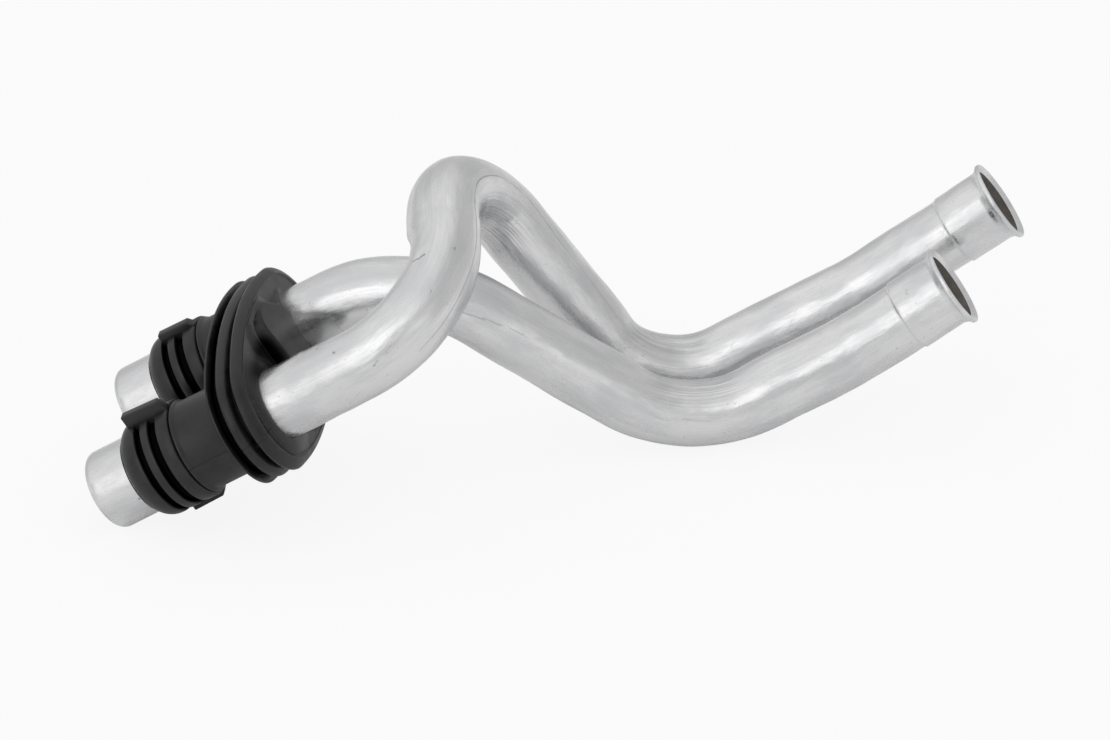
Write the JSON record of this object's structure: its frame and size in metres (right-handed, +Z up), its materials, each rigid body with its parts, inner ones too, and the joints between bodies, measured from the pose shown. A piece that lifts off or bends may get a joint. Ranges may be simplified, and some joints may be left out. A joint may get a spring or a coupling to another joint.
{
  "type": "heater coolant pipe assembly",
  "caption": "Bent aluminium heater coolant pipes with flared hose ends, joined by an oval rubber bulkhead grommet, with ribbed seals on the stubs.",
  "frame": {"origin": "bottom centre of the bounding box, as the part lies at rest on the front pipe's stub and the lower bends of both pipes", "axes": "+X along the longest extent, from the stubs to the flared hose ends; +Y from the front pipe towards the rear pipe; +Z up"},
  "size_m": [0.2366, 0.0998, 0.0796],
  "materials": {
    "pipe": "satin drawn tube with fine scratches",
    "grommet": "moulded matt",
    "seal": "moulded matt"
  },
  "bodies": {
    "root": {"front_pipe": "pipe", "rear_pipe": "pipe", "grommet": "grommet", "front_seal": "seal", "rear_seal": "seal"}
  },
  "joints": []
}
